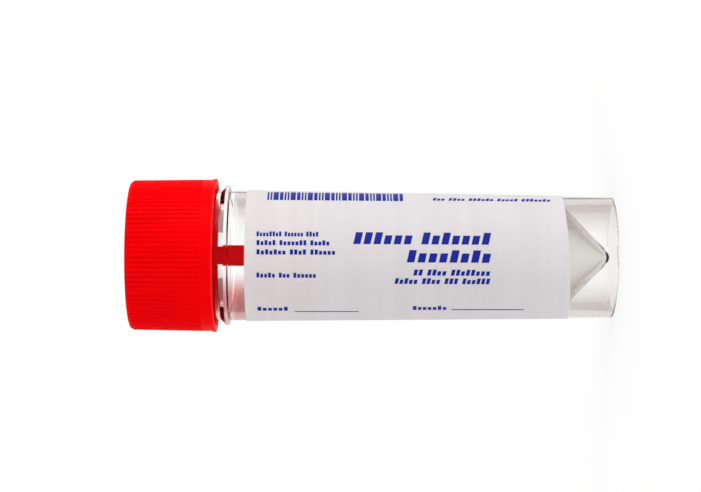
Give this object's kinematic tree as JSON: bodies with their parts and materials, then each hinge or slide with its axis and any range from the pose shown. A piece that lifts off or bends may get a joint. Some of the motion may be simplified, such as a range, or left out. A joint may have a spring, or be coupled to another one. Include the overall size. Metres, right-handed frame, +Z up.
{
  "type": "specimen container",
  "caption": "Clear conical-bottomed tube standing on its own skirt, with a ribbed screw cap that carries a sampling spoon, and a wrap-around label.",
  "frame": {"origin": "centre of the foot's rim, on the surface that the container stands on", "axes": "+Z up along the tube towards the cap, -Y towards the middle of the label and the open side of the spoon's bowl"},
  "size_m": [0.0295, 0.0294, 0.0925],
  "materials": {
    "clear_polystyrene": "clear, glossy, injection moulded",
    "red_polyethylene": "semi-gloss, slightly translucent at the thin rim",
    "deep_red_polystyrene": "semi-gloss",
    "label_paper": "matt white label stock with blue print"
  },
  "bodies": {
    "container": {"tube": "clear_polystyrene", "label": "label_paper"},
    "spoon_body": {"spoon": "deep_red_polystyrene"},
    "cap_body": {"cap": "red_polyethylene"}
  },
  "joints": [
    {"name": "cap_rise", "type": "slide", "parent": "container", "child": "spoon_body", "axis": [0, 0, 1], "range_m": [0, 0.00875]},
    {"name": "cap_turn", "type": "hinge", "parent": "spoon_body", "child": "cap_body", "pos_m": [0, 0, 0.088], "axis": [0, 0, 1], "range_deg": [0, 900]}
  ],
  "couplings": [
    {"joint": "cap_rise", "follows": "cap_turn", "m_per_rad": 0.00055704}
  ]
}
